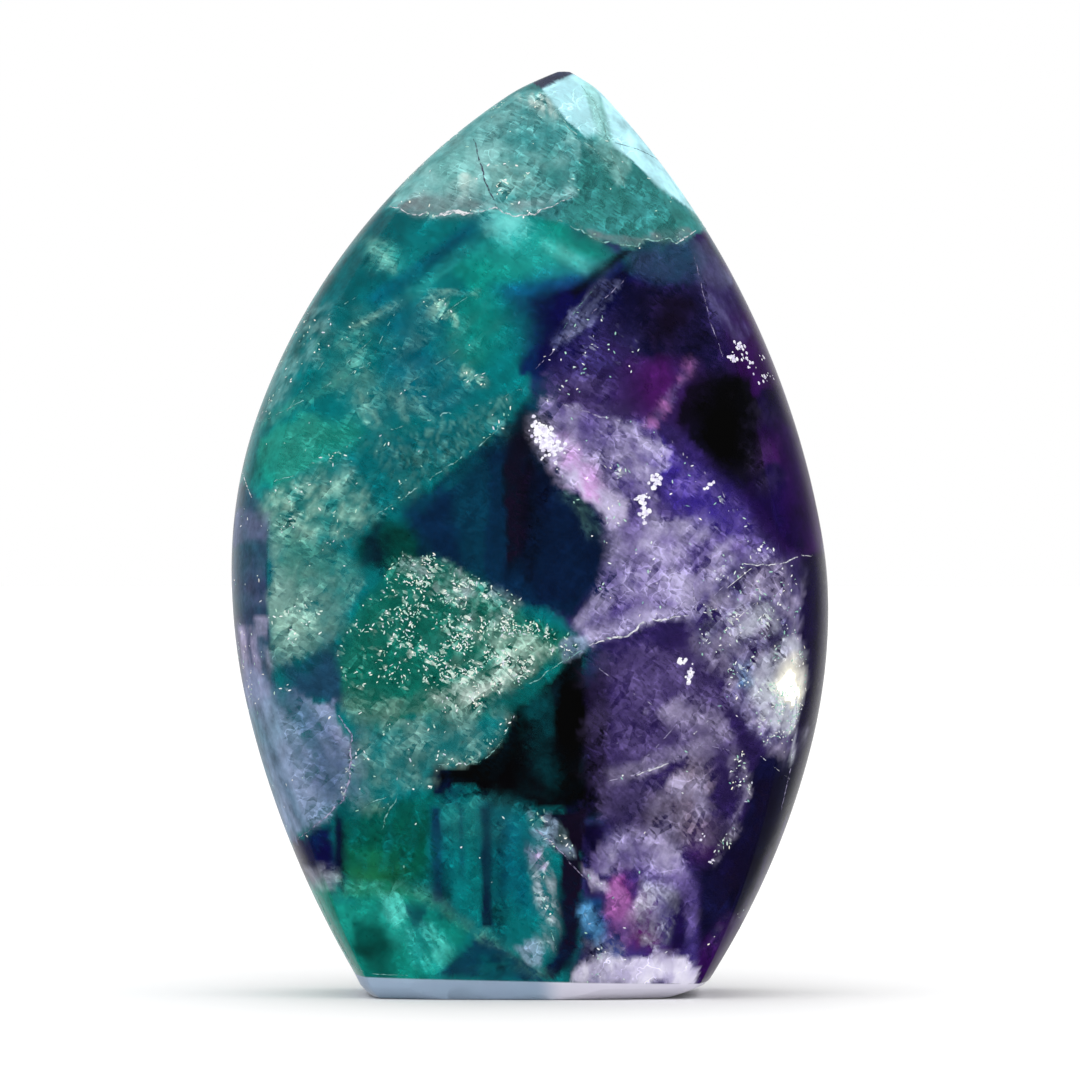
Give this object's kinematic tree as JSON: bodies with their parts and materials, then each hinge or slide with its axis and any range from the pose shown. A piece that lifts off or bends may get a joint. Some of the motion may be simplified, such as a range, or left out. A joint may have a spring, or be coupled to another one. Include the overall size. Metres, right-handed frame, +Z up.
{
  "type": "polished fluorite flame",
  "caption": "Free-standing polished rainbow fluorite stone cut as a leaning flame, with domed front and back, rounded sides and a flat foot.",
  "frame": {"origin": "on the surface that the stone stands on, under the middle of the stone's box", "axes": "+Z up from the foot to the tip, +X to the right seen from the front, the front face towards -Y"},
  "size_m": [0.0598, 0.03, 0.0921],
  "materials": {
    "fluorite": "polished see-through fluorite, teal and green at the left, purple at the right, with cloudy veils"
  },
  "bodies": {
    "root": {"flame_stone": "fluorite"}
  },
  "joints": []
}
